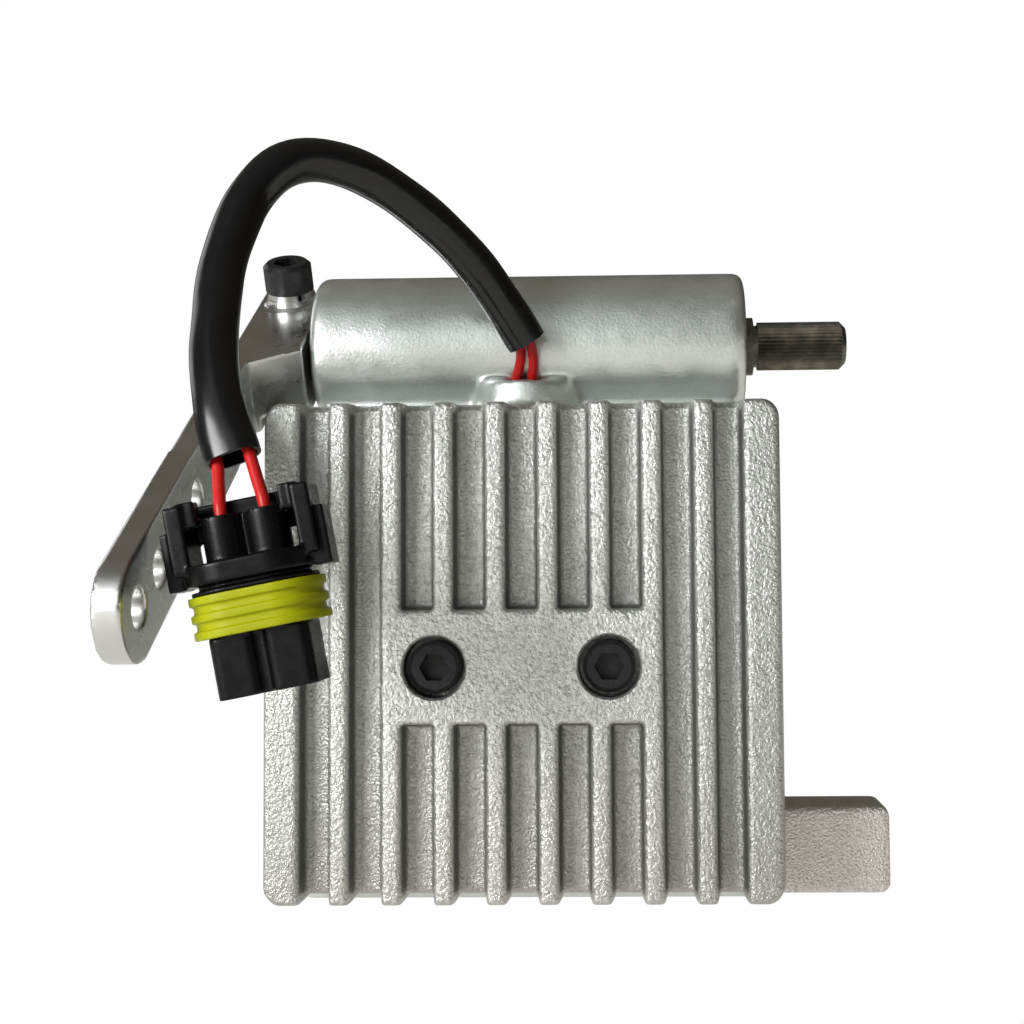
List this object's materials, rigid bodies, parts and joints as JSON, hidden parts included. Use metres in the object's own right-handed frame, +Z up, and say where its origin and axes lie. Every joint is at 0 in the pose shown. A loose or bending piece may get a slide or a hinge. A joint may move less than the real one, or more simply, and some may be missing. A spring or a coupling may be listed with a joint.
{
  "type": "engine governor actuator",
  "caption": "Electric engine governor actuator: finned cast body, lever shaft with a clamped lever, and a sleeved lead with a two-way connector.",
  "frame": {"origin": "middle of the four mounting holes on the rear face", "axes": "+X along the shaft away from the lever, +Y out of the rear mounting face, +Z up"},
  "size_m": [0.1318, 0.1178, 0.1441],
  "materials": {
    "cast_cover": "rough cast",
    "cast_body": "satin cast",
    "zinc": "zinc plated",
    "bright_steel": "satin",
    "dark_steel": "dark oxide",
    "black_oxide": "black oxide",
    "bronze": "sintered",
    "contact": "plated",
    "copper_wire": "enamelled",
    "rubber": "matte",
    "seal_rubber": "satin",
    "sleeve_pvc": "gloss",
    "wire_red": "satin",
    "shell_plastic": "matte",
    "bobbin_plastic": "matte"
  },
  "bodies": {
    "body": {"housing": "cast_body", "finned_cover": "cast_cover", "cover_gasket": "rubber", "cover_screws": "black_oxide", "bush_left": "bronze", "bush_right": "bronze", "shaft_seal_left": "rubber", "shaft_seal_right": "rubber", "return_spring": "bright_steel", "magnet_core": "dark_steel", "coil_bobbin": "bobbin_plastic", "coil_winding": "copper_wire", "core_screws": "bright_steel", "lead_grommet": "rubber", "lead_wires_boss": "wire_red", "harness_sleeve": "sleeve_pvc", "lead_wires_plug": "wire_red", "connector_body": "shell_plastic", "connector_seal": "seal_rubber", "wire_plugs": "rubber", "connector_terminals": "contact"},
    "rotor": {"output_shaft": "dark_steel", "lever": "zinc", "clamp_screw": "black_oxide", "lock_washer": "bright_steel", "plain_washer": "zinc", "retaining_rings": "bright_steel", "armature": "bright_steel", "armature_pin": "bright_steel"}
  },
  "joints": [
    {"name": "shaft_turn", "type": "hinge", "parent": "body", "child": "rotor", "pos_m": [0, -0.02575, 0.0615], "axis": [-1, 0, 0], "range_deg": [0, 25], "stiffness_Nm_per_rad": 0.8, "springref_deg": -17.19, "deforming": ["return_spring"]}
  ]
}
